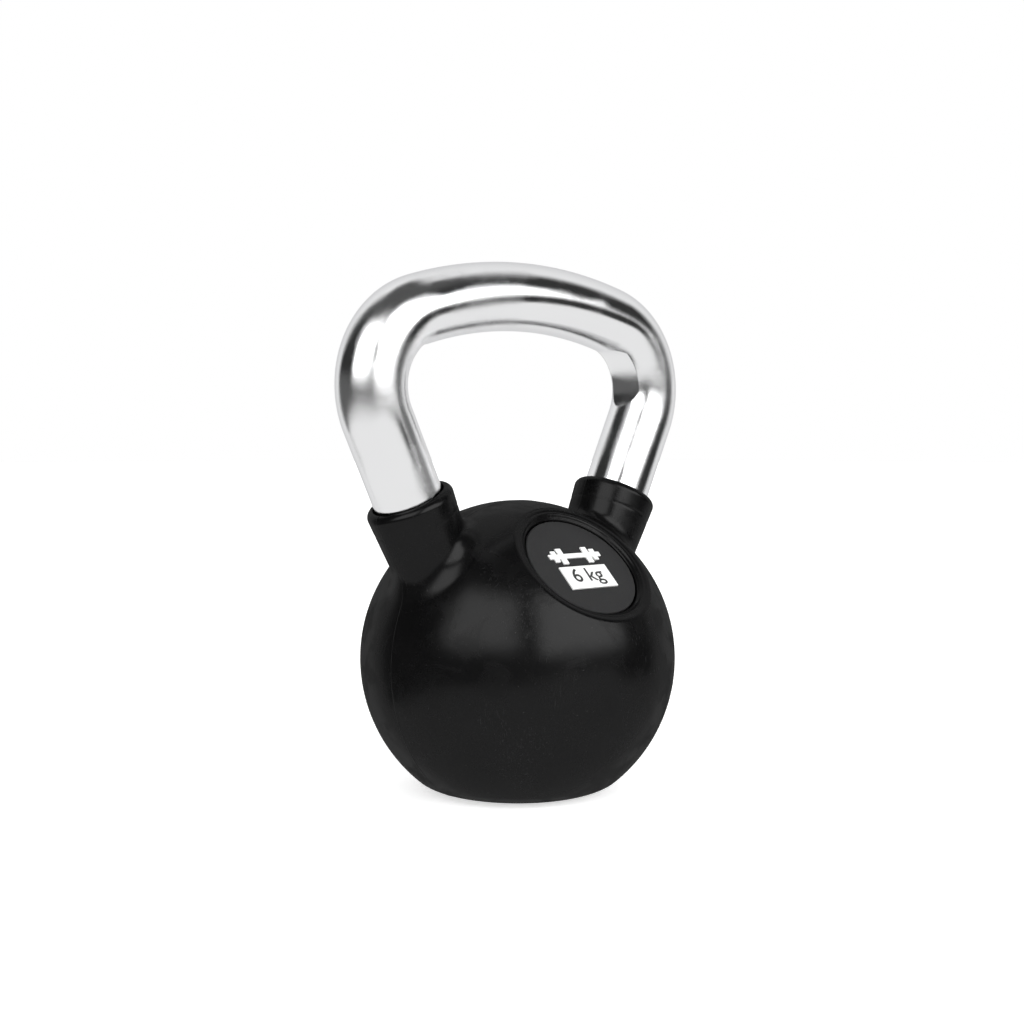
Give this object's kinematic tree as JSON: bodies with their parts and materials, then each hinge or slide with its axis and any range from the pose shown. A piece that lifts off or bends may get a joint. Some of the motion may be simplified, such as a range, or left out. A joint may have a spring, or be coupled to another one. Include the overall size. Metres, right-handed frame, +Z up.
{
  "type": "kettlebell",
  "caption": "Ball kettlebell with a black rubber skin over an iron core, a bent chrome-plated bar handle, collars round its legs and a round front badge.",
  "frame": {"origin": "middle of the flat foot, on the surface that the kettlebell stands on", "axes": "+Z up through the ball and the grip; +X along the grip, with the handle in the XZ plane; -Y is the front, where the badge is"},
  "size_m": [0.1762, 0.13, 0.2173],
  "materials": {
    "chrome_plate": "polished",
    "rubber_skin": "satin",
    "cast_iron": "matte",
    "pin_steel": "satin",
    "disc_plastic": "matte",
    "inlay_white": "satin"
  },
  "bodies": {
    "root": {"handle": "chrome_plate", "jacket": "rubber_skin", "core": "cast_iron", "pin_left": "pin_steel", "pin_right": "pin_steel", "badge_disc": "disc_plastic", "badge_label": "inlay_white", "badge_motif": "inlay_white"}
  },
  "joints": []
}
